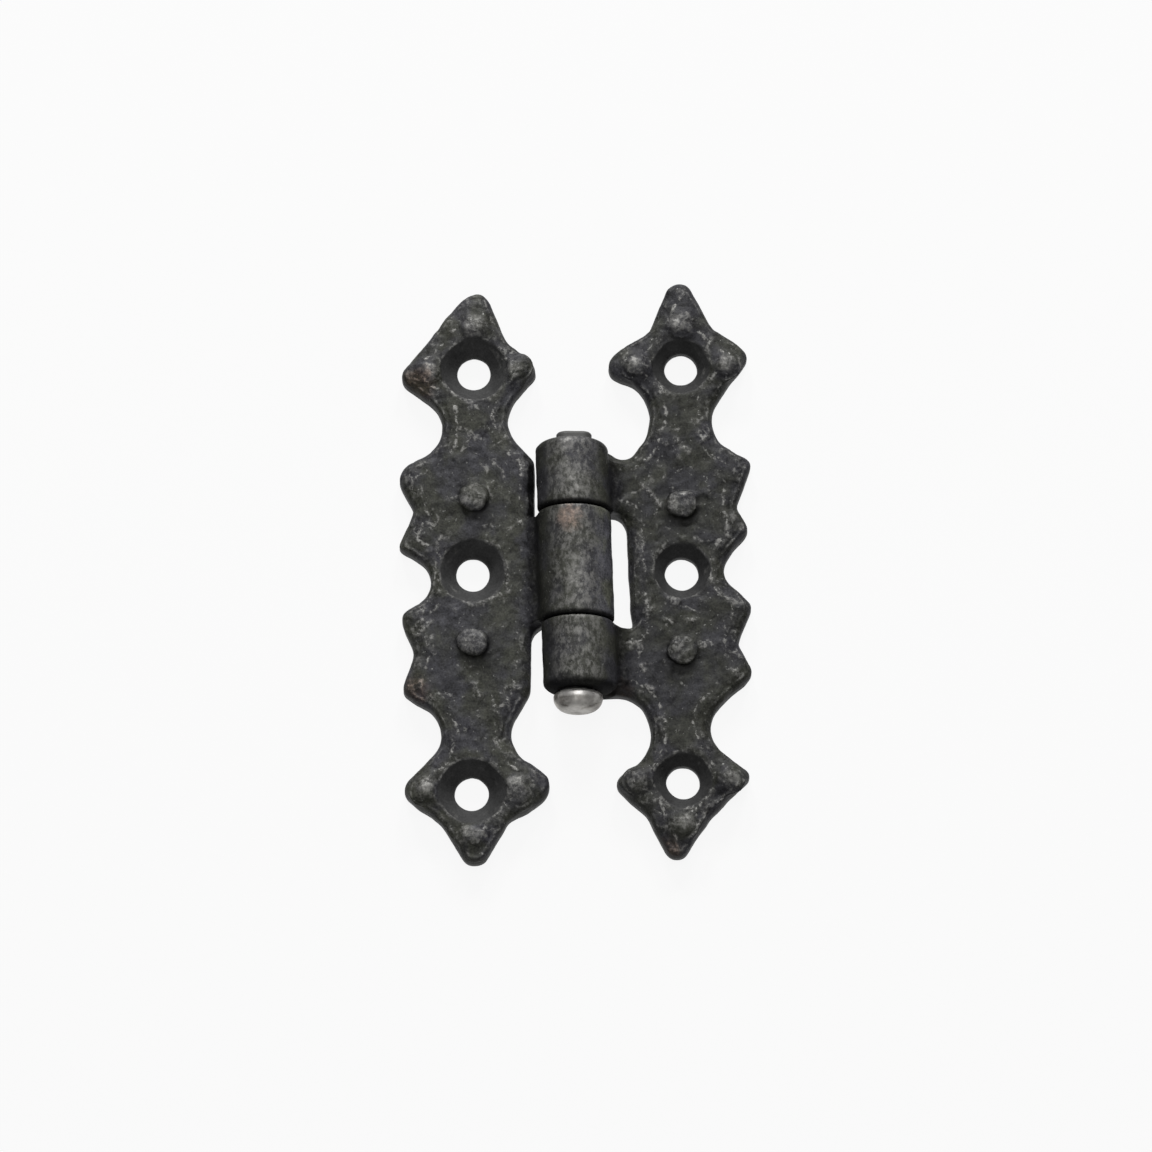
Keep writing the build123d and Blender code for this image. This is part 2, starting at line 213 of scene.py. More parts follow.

# Stains of the black finish, which multiply its colour, and painted shade: painted shadow at the studs' feet,
# painted shade on side walls, in crevices, at knuckle joints and on edges beside the knuckles
RUST_STAIN = (1.3, 1.03, 0.9, 1)
SOOT_STAIN = (0.5, 0.5, 0.5, 1)
STUD_PAINTED_SHADOW = (0.45, 0.45, 0.45, 1)
SIDE_WALL_PAINTED_SHADE = (0.45, 0.45, 0.45, 1)
CREVICE_PAINTED_SHADE = (0.4, 0.4, 0.41, 1)
KNUCKLE_PAINTED_SHADE = (0.2, 0.2, 0.2, 1)

# Unevenness of the black finish, and how much lighter or darker its single parts are; the middle knuckle's right
# flank gets painted light and the barrel's left flank painted shade
BLOTCH_SHADE = 1.8
MOTTLE_SHADE = 1.8
GRAIN_SHADE = 2.2
DARKEST_SHADE = 0.25
MIDDLE_FLANK_PAINTED_LIGHT = 1.3
LEFT_FLANK_PAINTED_SHADE = 0.4
RIGHT_LEAF_LOSS = 0.24
LOW_STUD_LOSS = 0.7
IRON_BUMP = {"Strength": 0.6, "Distance": 0.10 * MM}

# Worn line along the border: how far in from the side walls, and how far it wanders, in millimetres
LINE_INSET = 1.5
LINE_STRAY = 1.5

# Fades of the finish's masks: distances outside the barrel, then places, then heights
BARREL_FADE = mm(0.8, 0.2)
JOINT_ROOM_FADE = mm(0.5, 0.2)
CREVICE_FADE = mm(2.6, 0.6)
CREVICE_FOOT_FADE = mm(-0.4, 0.3)
EDGE_SHADOW_FADE = mm(2.2, 1.9)
MIDDLE_KNUCKLE_FADE = mm(8.2, 7.8)
PAINTED_LIGHT_FLANK_FADE = mm(2, 4.2)
PAINTED_SHADE_FLANK_FADE = mm(-1, -3.5)
RIGHT_LEAF_FADE = mm(6, 8)
LEFT_SIDE_FADE = mm(0.5, -0.5)
JOINT_START_FADE = (-0.3 * MM, 0.0)
JOINT_STOP_FADE = mm(0.9, 0.3)
BARREL_FOOT_FADE = mm(-16.9, -17.6)
DULL_STUD_FADE = mm(3.4, 2.6)
CROWN_FADE = (AXIS_HEIGHT + 2.9 * MM, AXIS_HEIGHT + BARREL_RADIUS)
STUD_TOP_FADE = (LEAF_THICKNESS + 0.35 * MM, LEAF_THICKNESS + STUD_HEIGHT - 0.1 * MM)
SIDE_WALL_FADE = mm(3.0, 2.5)
CREVICE_TOP_FADE = mm(7.0, 5.0)
EDGE_SHADOW_TOP_FADE = mm(3.15, 2.9)

# Marks on the black finish: place and radius in millimetres
MARK_STRAY = {"size": 0.9 * MM, "seed": 5.9, "reach": 2.2 * MM}
MARK_CORE = 0.35
RUST_MARKS = [
    (-22.3, 27.4, 3, 3.4), (-22.3, -17.2, 3, 2.8), (6.0, -17.6, 3, 2.8), (12.4, -40.0, 3, 2.6),
    (-1.0, 5.8, 10, 2.6),
]
# Painted shadows at the studs' feet, set off below and beside each stud where its shadow falls
STUD_SHADOW_MARKS = [(-13.4, 8.9, 3, 3.5), (-13.4, -12.0, 3, 3.5), (14.5, 7.9, 3, 3.5), (13.8, -13.1, 3, 3.5)]
RUB_MARKS = [
    (-14.3, 35.8, 4, 2.2), (-20.7, 29.2, 4, 1.7), (-8.8, 29.6, 4, 1.3), (14.3, 36.5, 4, 2.0),
    (21.0, 30.5, 4, 1.8), (8.1, 30.5, 4, 1.3), (-20.6, -31.0, 4, 1.8), (-8.3, -30.5, 4, 1.5),
    (-15.2, -37.4, 4, 1.2), (-14.1, -37.6, 4, 1.3), (-13.0, -37.6, 4, 1.2), (9.0, -30.7, 4, 1.0),
    (21.8, -29.8, 4, 1.4), (15.4, -36.0, 4, 1.6), (-15.5, 10.0, 4, 1.3), (-13.6, 9.5, 4, 1.1),
    (-15.2, -10.9, 4, 1.4), (13.3, 9.5, 4, 1.5), (15.3, 11.2, 4, 1.0), (16.8, 9.6, 4, 1.1),
    (-1.0, 6.2, 10, 2.6), (0.3, -2.8, 10, 2.2), (-1.4, 13.4, 10, 1.3), (-0.5, 11.8, 10, 1.3),
    (0.4, 10.4, 10, 1.6), (2.0, 12.0, 10, 1.2), (-1.2, 16.6, 10, 1.8),
]

# Pin finish
STEEL_CLOUD = {"size": 1.6 * MM, "seed": 3.3, "detail": 3.0, "roughness": 0.6}
SCORE = {"size": 0.9 * MM, "seed": 2.4, "detail": 3.0, "roughness": 0.6}
SCORE_STRETCH = (0.4, 1.6, 1)
SCUFF = {"size": 0.3 * MM, "seed": 7.1, "detail": 2.0, "roughness": 0.6}
DULL_STEEL = (0.41, 0.39, 0.365, 1)
BRIGHT_STEEL = (0.78, 0.76, 0.72, 1)
# Painted highlight for the upper rim of the pin's head
LIP_PAINTED_HIGHLIGHT = (0.93, 0.91, 0.88, 1)
BLACKED_STEEL = (0.066, 0.066, 0.063, 1)
DENT_STAIN = (0.35, 0.32, 0.29, 1)
SCORE_STAIN = (0.5, 0.48, 0.46, 1)
# Painted shade for the end of the pin's head
HEAD_END_PAINTED_SHADE = (0.6, 0.6, 0.6, 1)
BLACKING_FADE = mm(-18.6, -18.1)
BLACKING_WANDER = 1.2 * MM
HEAD_FOOT_FADE = mm(-19.8, -20.6)
LIP_START_FADE = mm(-18.2, -18.5)
LIP_STOP_FADE = mm(-19.5, -19.1)
LIP_HEIGHT_FADE = (AXIS_HEIGHT + 1.2 * MM, AXIS_HEIGHT + 2.8 * MM)
STEEL_BUMP = {"Strength": 0.4, "Distance": 0.03 * MM}

# Camera of the photograph
VIEW_ELEVATION = 73.5
VIEW_DISTANCE = 0.800
VIEW_WIDTH = 0.16128
VIEW_CENTRE = Vector((0, 0.000146, 0))
SENSOR = 36.0

# Studio: each lamp's azimuth, elevation, distance, width and level.
# A lamp's level is the share of plain white that it gives a surface lying flat
LAMPS = {
    "upper_left": (194, 28, 0.9, 0.2, 0.25),
    "upper_right": (166, 28, 0.9, 0.2, 0.25),
    "overhead": (180, 80, 1.0, 0.6, 0.38),
    "lower_fill": (0, 50, 1.0, 0.5, 0.09),
}
SKY_LEVEL = 0.08
FLOOR_HALF = 6.0
FLOOR_WHITE = (0.6, 0.6, 0.6, 1)
FLOOR_GLOW = 0.9
PLAIN_WHITE = (1, 1, 1, 1)


class Wire:
    """A socket of a node tree; arithmetic on it adds Math nodes."""

    def __init__(self, tree, socket):
        self.tree = tree
        self.socket = socket

    @staticmethod
    def find(sockets, key):
        """A socket by its number, or the first one in use by its name."""
        if isinstance(key, int):
            return sockets[key]
        return next(s for s in sockets if s.name == key and s.enabled)

    @classmethod
    def node(cls, tree, kind, settings=None, sockets=None, out=0):
        """Adds a node: its settings first, then the values or links of its sockets."""
        made = tree.nodes.new(kind)
        for name, value in (settings or {}).items():
            setattr(made, name, value)
        for key, value in (sockets or {}).items():
            socket = cls.find(made.inputs, key)
            if isinstance(value, Wire):
                tree.links.new(value.socket, socket)
            else:
                socket.default_value = value
        return cls(tree, cls.find(made.outputs, out)) if made.outputs else None

    @classmethod
    def join(cls, tree, **parts):
        """A vector from its parts X, Y and Z; a part that isn't given is 0."""
        return cls.node(tree, "ShaderNodeCombineXYZ", {}, parts)

    def math(self, operation, second=0.0):
        return Wire.node(self.tree, "ShaderNodeMath", {"operation": operation}, {0: self, 1: second})

    def math_from(self, operation, first):
        """As math, with this wire as the second value."""
        return Wire.node(self.tree, "ShaderNodeMath", {"operation": operation}, {0: first, 1: self})

    def __add__(self, other):
        return self.math("ADD", other)

    def __sub__(self, other):
        return self.math("SUBTRACT", other)

    def __rsub__(self, other):
        return self.math_from("SUBTRACT", other)

    def __mul__(self, other):
        return self.math("MULTIPLY", other)

    def __truediv__(self, other):
        return self.math("DIVIDE", other)

    def __rtruediv__(self, other):
        return self.math_from("DIVIDE", other)

    __radd__ = __add__
    __rmul__ = __mul__

    def root(self):
        return self.math("SQRT")

    def size(self):
        return self.math("ABSOLUTE")

    def most(self, other):
        return self.math("MAXIMUM", other)

    def least(self, other):
        return self.math("MINIMUM", other)

    def over(self, other):
        return self.math("GREATER_THAN", other)

    def rise(self, low, high):
        """0 at low and 1 at high, eased between; with high below low it falls instead."""
        settings = {"interpolation_type": "SMOOTHSTEP"}
        sockets = {"Value": self, "From Min": low, "From Max": high, "To Min": 0.0, "To Max": 1.0}
        return Wire.node(self.tree, "ShaderNodeMapRange", settings, sockets, "Result")

    def vector(self, operation, other, out="Vector"):
        sockets = {0: self, "Scale" if operation == "SCALE" else 1: other}
        return Wire.node(self.tree, "ShaderNodeVectorMath", {"operation": operation}, sockets, out)

    def distance(self, other):
        return self.vector("DISTANCE", other, "Value")

    def parts(self):
        split = Wire.node(self.tree, "ShaderNodeSeparateXYZ", {}, {0: self})
        return [Wire(self.tree, s) for s in split.socket.node.outputs]

    def noise(self, size, seed, detail=2.0, roughness=0.5, out=0):
        """Cloudy noise read at this place, its clouds about size metres wide."""
        sockets = {"Vector": self, "W": seed, "Scale": 1 / size, "Detail": detail, "Roughness": roughness}
        return Wire.node(self.tree, "ShaderNodeTexNoise", {"noise_dimensions": "4D"}, sockets, out)

    def drift(self, size, seed):
        """Cloudy noise as a vector, up to about half a unit either way."""
        return self.noise(size, seed, out="Color").vector("SUBTRACT", (0.5, 0.5, 0.5))

    def stray(self, size, seed, reach):
        """This place, strayed by up to about half of reach in every direction."""
        return self.vector("ADD", self.drift(size, seed).vector("SCALE", reach))

    def dents(self, size, seed, smoothness=0.3):
        """Hammer dents read at this place: 0 in a dent's middle, towards 1 on the ridges between."""
        settings = {"voronoi_dimensions": "4D", "feature": "SMOOTH_F1"}
        sockets = {"Vector": self, "W": seed, "Scale": 1 / size, "Smoothness": smoothness}
        return Wire.node(self.tree, "ShaderNodeTexVoronoi", settings, sockets, "Distance")

    def tint(self, first, second, blend="MIX"):
        """Mixes two colours, with this wire as the factor."""
        settings = {"data_type": "RGBA", "blend_type": blend}
        sockets = {"Factor": self, "A": first, "B": second}
        return Wire.node(self.tree, "ShaderNodeMix", settings, sockets, "Result")

    def stain(self, colour, by):
        """Multiplies a colour by a stain where this wire is 1."""
        return self.tint(colour, by, "MULTIPLY")


def strongest(fields):
    """At each point, the largest of the fields."""
    return reduce(Wire.most, fields)


def outside_barrel(across, along, above, radius):
    """Distance outside the barrel, below 0 within it; the leaves' ends beyond it count as far away."""
    past = along.size().rise(*PAST_BARREL_FADE) * FAR
    return (across * across + above * above).root() - radius + past


def skin_inputs(tree, sizes):
    """Opens a skin tree with its geometry, its finish and its named sizes; returns their wires by name."""
    tree.interface.new_socket("Geometry", in_out="OUTPUT", socket_type="NodeSocketGeometry")
    tree.interface.new_socket("Geometry", in_out="INPUT", socket_type="NodeSocketGeometry")
    tree.interface.new_socket("Finish", in_out="INPUT", socket_type="NodeSocketMaterial")
    for name in sizes:
        tree.interface.new_socket(name, in_out="INPUT", socket_type="NodeSocketFloat")
    entry = tree.nodes.new("NodeGroupInput")
    return {s.name: Wire(tree, s) for s in entry.outputs if s.name}


def moved(geometry, offset):
    return Wire.node(geometry.tree, "GeometryNodeSetPosition", {}, {"Geometry": geometry, "Offset": offset})


def stored(geometry, name, field):
    """The geometry with a value kept at each point, which its finish reads by name."""
    settings = {"data_type": "FLOAT", "domain": "POINT"}
    sockets = {"Geometry": geometry, "Name": name, "Value": field}
    return Wire.node(geometry.tree, "GeometryNodeStoreNamedAttribute", settings, sockets)


def levelled(position, passes):
    """The place of each point after its surroundings are evened out."""
    return Wire.node(position.tree, "GeometryNodeBlurAttribute", {"data_type": "FLOAT_VECTOR"},
                     {"Value": position, "Iterations": passes}, "Value")


def skin_output(geometry, finish, relief):
    """Stores how far each point stands out of its surroundings, in millimetres, and ends the tree."""
    tree = geometry.tree
    position = Wire.node(tree, "GeometryNodeInputPosition")
    normal = Wire.node(tree, "GeometryNodeInputNormal")
    rise = position.vector("SUBTRACT", levelled(position, RELIEF_PASSES[relief]))
    geometry = stored(geometry, relief, rise.vector("DOT_PRODUCT", normal, "Value") / MM)
    geometry = Wire.node(tree, "GeometryNodeSetShadeSmooth", {}, {"Geometry": geometry})
    geometry = Wire.node(tree, "GeometryNodeRealizeInstances", {}, {"Geometry": geometry})
    geometry = Wire.node(tree, "GeometryNodeSetMaterial", {}, {"Geometry": geometry, "Material": finish})
    Wire.node(tree, "NodeGroupOutput", {}, {"Geometry": geometry})


def screw_places():
    """Centre and countersink radius of each screw hole, from the record's bolt patterns."""
    places = set()
    for mount in frame["record"]["mounts"]:
        if mount["kind"] == "bolt_pattern":
            x, y, _ = mount["pos_m"]
            half = mount["dims"]["spacing_y_mm"] * MM / 2
            radius = SINK_RADIUS[mount["name"].split("_")[0]]
            places |= {(x, round(y - half, 6), radius), (x, round(y + half, 6), radius)}
    return sorted(places)


def drilled_field(plan):
    """1 inside every countersink, 0 on the cast face round it."""
    out, into = SINK_RIM_FADE
    return strongest(plan.distance((x, y, 0)).rise(radius + out, radius + into)
                     for x, y, radius in screw_places())


def along_seam(strayed, seam, width):
    """1 on the line of a seam, falling to 0 at its width."""
    x0, y0, x1, y1 = seam
    run = Vector((x1 - x0, y1 - y0, 0)) * MM
    start = strayed.vector("SUBTRACT", mm(x0, y0, 0))
    share = start.vector("DOT_PRODUCT", run, "Value") / run.length_squared
    share = share.most(0.0).least(1.0)
    return start.distance(Wire.join(strayed.tree, X=share * run.x, Y=share * run.y)).rise(width, 0.0)


def seam_field(plan, width):
    """1 along every seam; the seams wander a little."""
    strayed = plan.stray(**SEAM_STRAY)
    return strongest(along_seam(strayed, seam, width) for seam in SEAMS)


def trim_field(plan):
    """The pushes along the outline, each fading out round its place."""
    pushes = []
    for x, y, push_x, push_y in OUTLINE_TRIMS:
        near = plan.distance(mm(x, y, 0)).rise(*TRIM_FADE)
        pushes.append(Wire.join(plan.tree, X=near * (push_x * MM), Y=near * (push_y * MM)))
    return reduce(lambda total, push: total.vector("ADD", push), pushes)


def leaf_places(tree, given):
    """Fields that tell where on a leaf a point lies, for the steps of its skin."""
    at = SimpleNamespace()
    at.position = Wire.node(tree, "GeometryNodeInputPosition")
    at.normal = Wire.node(tree, "GeometryNodeInputNormal")
    at.x, at.y, at.z = at.position.parts()
    at.end, at.front = at.normal.parts()[1:]
    at.plan = Wire.join(tree, X=at.x, Y=at.y)
    at.outside = outside_barrel(at.x, at.y, at.z - given["Axis Height"], given["Barrel Radius"])
    at.knuckle = at.outside.rise(*KNUCKLE_FADE)
    at.plate = at.outside.rise(*PLATE_FADE)
    at.drilled = drilled_field(at.plan) * at.z.rise(*SINK_FLOOR_FADE)
    at.stud = at.z.rise(*STUD_FADE) * at.plate
    at.stud_rows = at.y.size().rise(*STUD_ROWS_FADE)
    at.low_stud = at.plan.distance(LOW_STUD).rise(*LOW_STUD_FADE)
    return at


def slump(at):
    """Offset that rounds all edges but those of knuckles and countersinks, and presses one stud flatter."""
    held = (1 - at.knuckle) * (1 - at.drilled.rise(*SINK_HOLD_FADE))
    held = held * (1 - at.stud * at.stud_rows * STUD_HOLD)
    offset = levelled(at.position, SLUMP_PASSES).vector("SUBTRACT", at.position).vector("SCALE", held)
    drop = (LEAF_THICKNESS - at.z.most(LEAF_THICKNESS)) * at.low_stud * LOW_STUD_DROP
    return offset.vector("ADD", Wire.join(at.z.tree, Z=drop))


def sway(at, given):
    """Offset across the leaf that makes its outline wavy and full, shifts its edges and trims its lobes."""
    both_ways = (2, 2, 0)
    warp = at.plan.drift(given["Warp Size"], given["Seed"]).vector("MULTIPLY", both_ways)
    warp = warp.vector("SCALE", given["Warp"] * (1 - at.knuckle))
    shift = at.plan.drift(EDGE_SHIFT_SIZE, given["Seed"] + 7).vector("MULTIPLY", both_ways)
    shift = shift.vector("SCALE", (at.stud + at.z.rise(*EDGE_SHIFT_FADE)) * EDGE_SHIFT)
    shift = shift.vector("SCALE", at.outside.rise(*EDGE_SHIFT_ROOM))
    full = at.normal.vector("MULTIPLY", (1, 1, 0)).vector("SCALE", given["Fullness"])
    trim = trim_field(at.plan).vector("ADD", full).vector("SCALE", (1 - at.knuckle) * (1 - at.drilled))
    return warp.vector("ADD", shift).vector("ADD", trim)


def wall_distance(at, geometry):
    """Distance of a point from the leaf's side walls."""
    steep, sheer = WALL_TURN
    wall = at.front.rise(steep, sheer) * at.front.rise(-steep, -sheer) * (1 - at.drilled) * (1 - at.knuckle)
    wall = wall * at.z.rise(*WALL_TOP_FADE)
    walls = Wire.node(geometry.tree, "GeometryNodeSeparateGeometry", {"domain": "FACE"},
                      {"Geometry": geometry, "Selection": wall.over(0.5)})
    return Wire.node(geometry.tree, "GeometryNodeProximity", {"target_element": "FACES"},
                     {0: walls, "Sample Position": at.position}, "Distance")


def cast_height(at, given, seam, inset):
    """How far the rough face stands out: swells, lumps, pits, seams, sloped border, full studs and bevels."""
    seed = given["Seed"]
    swell = at.position.noise(given["Swell Size"], seed + 1) - 0.5
    lump = at.position.noise(given["Lump Size"], seed + 2, 3.0, 0.5) - 0.5
    pit = at.position.noise(given["Pit Size"], seed + 5, 2.0, 0.6).rise(0.58, 0.72)
    height = swell * given["Swell"] + lump * given["Lump"] - pit * given["Pit"]
    wander = (at.plan.noise(BORDER_WANDER_SIZE, seed + 6) - 0.5) * BORDER_WANDER
    border = (inset + wander).rise(given["Border Width"], BORDER_FULL)
    low_tip = at.y.rise(*LOW_TIP_FADE) * LOW_TIP_BORDER_LOSS
    height = height + seam * given["Seam"] - border * given["Border"] * (1 - at.stud) * (1 - low_tip)
    flank = at.z.rise(*STUD_FLANK_FADE) * at.front.rise(*STUD_FLANK_TURN)
    widening = flank * at.plate * (STUD_WIDENING + LOW_STUD_WIDENING * at.low_stud)
    height = height + (widening + at.stud * STUD_RAISE) * at.stud_rows
    bevel = at.front.rise(*BEVEL_UPPER_TURN) * at.front.rise(*BEVEL_LOWER_TURN) * at.z.rise(*BEVEL_FOOT_FADE)
    bevel = bevel * at.z.rise(*BEVEL_TOP_FADE) * (1 - at.drilled) * at.plate
    extra = at.plan.noise(BEVEL_FILL_SIZE, seed + 8).rise(0.35, 0.6) * BEVEL_EXTRA_FILL
    return height + bevel * (BEVEL_FILL + extra)


def roughness_left(at):
    """Share of the roughness that a point keeps: little where the leaf was drilled, filed or hidden."""
    bore = at.outside.rise(*BORE_FADE)
    share = 1 - at.knuckle * (1 - KNUCKLE_CALM)
    share = share * (1 - at.knuckle * at.end.size().rise(*KNUCKLE_END_TURN)) * (1 - bore)
    face = at.front.rise(*FACE_TURN).most(at.knuckle)
    share = share * (1 - at.drilled * (1 - DRILLED_CALM)) * (WALL_CALM + (1 - WALL_CALM) * face)
    return share * (BACK_CALM + (1 - BACK_CALM) * at.z.rise(*BACK_FADE))


def casting_skin():
    """Skin of a leaf: wavy outline, soft edges, lumps, ridges and pits."""
    tree = bpy.data.node_groups.new("casting_skin", "GeometryNodeTree")
    given = skin_inputs(tree, CASTING_SIZES)
    at = leaf_places(tree, given)
    geometry = moved(given["Geometry"], slump(at))
    geometry = moved(geometry, sway(at, given))
    inset = wall_distance(at, geometry)
    seam = seam_field(at.plan, given["Seam Width"])
    height = cast_height(at, given, seam, inset) * roughness_left(at)
    geometry = moved(geometry, at.normal.vector("SCALE", height))
    crest = seam * at.front.rise(*CREST_TURN) * (1 - at.knuckle)
    told = {"drilled": at.drilled, "crest": crest, "front": at.front, "inset": inset / MM}
    for name, field in told.items():
        geometry = stored(geometry, name, field)
    skin_output(geometry, given["Finish"], "relief_broad")
    return tree


def peened_skin():
    """Skin of the pin: hammer marks on what shows beyond the barrel, plain where it turns in the knuckles."""
    tree = bpy.data.node_groups.new("peened_skin", "GeometryNodeTree")
    given = skin_inputs(tree, PIN_SIZES)
    position = Wire.node(tree, "GeometryNodeInputPosition")
    normal = Wire.node(tree, "GeometryNodeInputNormal")
    along = position.parts()[1]
    shown = (along.size() - given["Shank Half"]).rise(*PEEN_FADE)
    struck = position.stray(given["Peen Size"], given["Seed"] + 1, given["Peen Size"])
    depth = (1 - struck.dents(given["Peen Size"], given["Seed"])) * given["Peen Depth"] * shown
    geometry = moved(given["Geometry"], normal.vector("SCALE", 0 - depth))
    skin_output(geometry, given["Finish"], "relief_fine")
    return tree


def welded_copy(node):
    """The mesh of a CAD node with its loose triangles merged."""
    mesh = frame["nodes"][node].data.copy()
    mesh.materials.clear()
    welded = bmesh.new()
    welded.from_mesh(mesh)
    bmesh.ops.remove_doubles(welded, verts=welded.verts, dist=0.001 * MM)
    welded.to_mesh(mesh)
    welded.free()
    return mesh


def skinned(name, node, voxel, easing, tree, sizes, finish):
    """A closed copy of a CAD node, evenly meshed, eased, roughened by its skin tree, and made plain mesh."""
    piece = bpy.data.objects.new(name, welded_copy(node))
    bpy.context.scene.collection.objects.link(piece)
    even = piece.modifiers.new("even_mesh", "REMESH")
    even.mode = "VOXEL"
    even.voxel_size = voxel
    soft = piece.modifiers.new("eased_edges", "SMOOTH")
    soft.iterations = easing
    skin = piece.modifiers.new("skin", "NODES")
    skin.node_group = tree
    for item in tree.interface.items_tree:
        if item.in_out == "INPUT" and item.name in sizes:
            skin[item.identifier] = sizes[item.name]
        elif item.in_out == "INPUT" and item.name == "Finish":
            skin[item.identifier] = finish
    depsgraph = bpy.context.evaluated_depsgraph_get()
    made = bpy.data.meshes.new_from_object(piece.evaluated_get(depsgraph), depsgraph=depsgraph)
    piece.modifiers.clear()
    piece.data = made
    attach(piece, BODY_OF[node])
    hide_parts(node)
    return piece


def new_finish(name):
    """An empty material; returns it with its tree and the place of a point on the piece."""
    material = bpy.data.materials.new(name)
    material.use_nodes = True
    tree = material.node_tree
    tree.nodes.clear()
    place = Wire.node(tree, "ShaderNodeTexCoord", {}, {}, "Object")
    return material, tree, place


def kept(tree, name):
    """A value that the piece's skin stored at each point."""
    return Wire.node(tree, "ShaderNodeAttribute", {"attribute_name": name}, {}, "Fac")


def close_finish(tree, sockets):
    shader = Wire.node(tree, "ShaderNodeBsdfPrincipled", {}, sockets)
    Wire.node(tree, "ShaderNodeOutputMaterial", {}, {"Surface": shader})


def marks(place, spots):
    """1 at the middle of each spot (x, y, z, radius in millimetres), fading unevenly to 0."""
    strayed = place.stray(**MARK_STRAY)
    return strongest(strayed.distance(mm(x, y, z)).rise(radius * MM, radius * MARK_CORE * MM)
                     for x, y, z, radius in spots)


def iron_places(tree, place):
    """Fields that the steps of the black finish share: where a point lies, and the clouds there."""
    at = SimpleNamespace(place=place)
    at.x, at.y, at.z = place.parts()
    at.across = at.x + at.y * BARREL_LEAN
    at.outside = outside_barrel(at.across, at.y, at.z - AXIS_HEIGHT, BARREL_RADIUS)
    at.barrel = at.outside.rise(*BARREL_FADE)
    at.flat = 1 - at.barrel
    at.middle_knuckle = at.y.size().rise(*MIDDLE_KNUCKLE_FADE)
    at.stud = at.z.rise(*STUD_TOP_FADE) * at.flat
    at.front = kept(tree, "front")
    at.relief = kept(tree, "relief_broad")
    at.crest = kept(tree, "crest")
    at.inset = kept(tree, "inset")
    at.drilled = kept(tree, "drilled")
    at.cast = 1 - at.drilled
    at.blotch = place.noise(**BLOTCH)
    at.mottle = place.noise(**MOTTLE)
    at.dust = place.noise(**DUST)
    at.grain = place.noise(**GRAIN)
    return at


def iron_ground(at):
    """Olive and slate clouds, unevenly shaded; greyer in the countersinks, darker on the right leaf, with painted
    light on the middle knuckle's right flank and painted shade on the barrel's left flank.
    """
    colour = at.place.noise(**CLOUD).rise(0.4, 0.6).tint(OLIVE_BLACK, SLATE_BLACK)
    colour = at.cast.tint(DRILLED_BLACK, colour)
    uneven = (at.blotch - 0.5) * BLOTCH_SHADE + (at.mottle - 0.5) * MOTTLE_SHADE
    uneven = uneven + (at.grain - 0.5) * GRAIN_SHADE
    shade = 1 + (0.5 + at.cast * 0.5) * uneven
    # Painted light on the middle knuckle's right flank and painted shade on the barrel's left flank, as if lit
    # from the right
    painted_light_flank = at.barrel * at.middle_knuckle * at.across.rise(*PAINTED_LIGHT_FLANK_FADE)
    shade = shade * (1 + painted_light_flank * MIDDLE_FLANK_PAINTED_LIGHT)
    shade = shade * (1 - at.barrel * at.across.rise(*PAINTED_SHADE_FLANK_FADE) * LEFT_FLANK_PAINTED_SHADE)
    shade = shade * (1 - at.x.rise(*RIGHT_LEAF_FADE) * RIGHT_LEAF_LOSS)
    return colour.vector("SCALE", shade.most(DARKEST_SHADE))


def worn_lines(at):
    """Broken light lines along seams, borders, countersink rims and edges, and a few stray strokes."""
    broken = at.place.noise(**BROKEN)
    border = (at.inset - LINE_INSET - at.place.noise(**LINE_WANDER) * LINE_STRAY).size().rise(0.36, 0.10)
    stroke = (at.place.noise(**CURL) - 0.5).size().rise(0.045, 0.015)
    stroke = stroke * at.place.noise(**CURL_GAPS).rise(0.56, 0.64)
    rim = at.drilled * at.cast * 4 * broken.rise(0.5, 0.6)
    edge = at.relief.rise(0.06, 0.16) * broken.rise(0.4, 0.6)
    line = at.crest.most(border * broken.rise(0.48, 0.56)).most(stroke * 0.8).most(rim * 0.7).most(edge * 0.6)
    return line * at.front.rise(0.7, 0.9) * at.flat * (0.12 + at.dust.rise(0.42, 0.58) * 0.88)


def rubbed_and_sheen(at, line):
    """Share of the black that is rubbed off: on lines, studs, single marks and the backs; on the knuckle crowns it
    is partly wear and partly a painted sheen.
    """
    streak = at.place.vector("MULTIPLY", STREAK_STRETCH).noise(**STREAK)
    # Knuckle crowns: partly wear, partly a painted sheen along the top of the barrel
    worn_sheen_crown = at.z.rise(*CROWN_FADE) * (0.06 + streak.rise(0.42, 0.64) * 0.65)
    dull = at.place.distance(LOW_STUD + Vector((0, 0, LEAF_THICKNESS))).rise(*DULL_STUD_FADE)
    stud = at.stud * (1 - dull * LOW_STUD_LOSS)
    stud = stud * (0.05 + at.mottle.rise(0.46, 0.66) * 0.2 + at.dust.rise(0.5, 0.62) * 0.25)
    spot = 0.15 + at.mottle.rise(0.38, 0.6) * 0.4 + at.dust.rise(0.44, 0.6) * 0.4
    back = at.front.rise(-0.8, -0.95) * at.flat
    back = back * at.blotch.rise(0.48, 0.66) * (0.06 + at.dust.rise(0.42, 0.6) * 0.3)
    return strongest([line * 0.9, worn_sheen_crown, stud, marks(at.place, RUB_MARKS) * spot, back])


def painted_joint_shade(at):
    """Painted shade: 1 on the lower lips of the knuckle joints and on the lower end of the barrel."""
    lips = [at.y - KNUCKLE_JOINT, at.y + KNUCKLE_JOINT]
    lips = [lip_highlight.rise(*JOINT_STOP_FADE) * lip_highlight.rise(*JOINT_START_FADE) for lip_highlight in lips]
    return strongest(lips + [at.y.rise(*BARREL_FOOT_FADE)]) * at.outside.rise(*JOINT_ROOM_FADE)


def painted_edge_shadow(at):
    """Painted shadow: 1 on the edges of the leaves that lie beside a knuckle without running into it."""
    left = at.x.rise(*LEFT_SIDE_FADE)
    webless = left + at.middle_knuckle - 2 * left * at.middle_knuckle
    edge = at.outside.rise(*EDGE_SHADOW_FADE) * at.z.rise(*EDGE_SHADOW_TOP_FADE) * at.front.rise(0.97, 0.85)
    return edge * at.flat * webless


